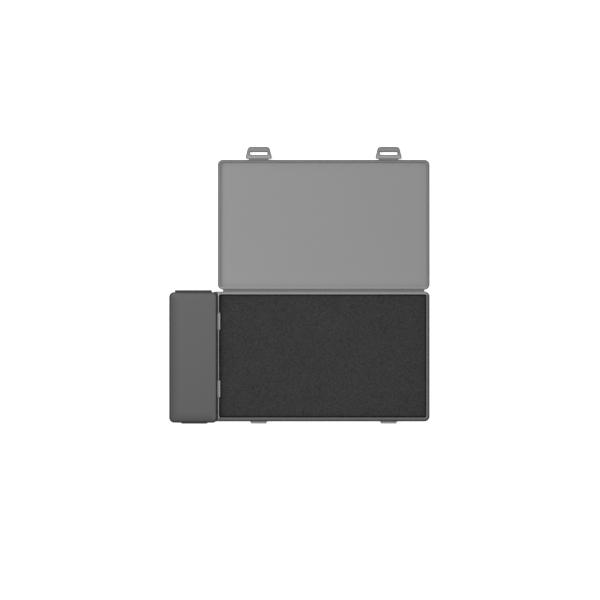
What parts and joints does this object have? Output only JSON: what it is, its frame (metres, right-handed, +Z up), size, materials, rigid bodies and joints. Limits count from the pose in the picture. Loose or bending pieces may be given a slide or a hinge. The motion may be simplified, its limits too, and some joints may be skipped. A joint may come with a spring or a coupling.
{
  "type": "wet palette",
  "caption": "Shallow lidded tray holding a dark foam pad, its film-hinged lid laid open behind it with slotted latches, and a closed lidded side box clipped along one end.",
  "frame": {"origin": "centre of the main tray's flat underside, midway along its rim in X and Y", "axes": "+Z up from the table; +Y from the tray's front to its hinge, so the open lid lies towards +Y; +X to the right, with the side box on the -X side"},
  "size_m": [0.26, 0.2766, 0.0266],
  "materials": {
    "tray_plastic": "satin smoke-grey polypropylene",
    "lid_plastic": "satin smoke-grey polypropylene",
    "side_box_plastic": "satin smoke-grey polypropylene",
    "side_lid_plastic": "fine-textured smoke-grey polypropylene",
    "clip_plastic": "satin light grey plastic",
    "sponge_foam": "fine open-cell sponge foam"
  },
  "bodies": {
    "root": {"main_tray": "tray_plastic", "foam_pad": "sponge_foam", "side_box": "side_box_plastic", "dock_clip_rear": "clip_plastic", "dock_clip_front": "clip_plastic", "main_hinge_tray_half": "lid_plastic", "side_hinge_box_half": "side_lid_plastic"},
    "main_lid": {"main_lid": "lid_plastic", "main_hinge_lid_half": "lid_plastic", "latch_hinge_left_lid_half": "lid_plastic", "latch_hinge_right_lid_half": "lid_plastic"},
    "latch_left": {"latch_left": "lid_plastic", "latch_hinge_left_tip_half": "lid_plastic"},
    "latch_right": {"latch_right": "lid_plastic", "latch_hinge_right_tip_half": "lid_plastic"},
    "side_lid": {"side_lid": "side_lid_plastic", "side_hinge_lid_half": "side_lid_plastic"}
  },
  "joints": [
    {"name": "main_lid_hinge", "type": "hinge", "parent": "root", "child": "main_lid", "pos_m": [0, 0.0661, 0.01905], "axis": [1, 0, 0], "range_deg": [0, 185.1]},
    {"name": "latch_left_hinge", "type": "hinge", "parent": "main_lid", "child": "latch_left", "pos_m": [-0.0649, 0.19717, 0.0072], "axis": [1, 0, 0], "range_deg": [0, 90]},
    {"name": "latch_right_hinge", "type": "hinge", "parent": "main_lid", "child": "latch_right", "pos_m": [0.0649, 0.19717, 0.0072], "axis": [1, 0, 0], "range_deg": [0, 90]},
    {"name": "side_lid_hinge", "type": "hinge", "parent": "root", "child": "side_lid", "pos_m": [-0.1301, 0.0661, 0.01905], "axis": [-1, 0, 0], "range_deg": [0, 185]}
  ]
}
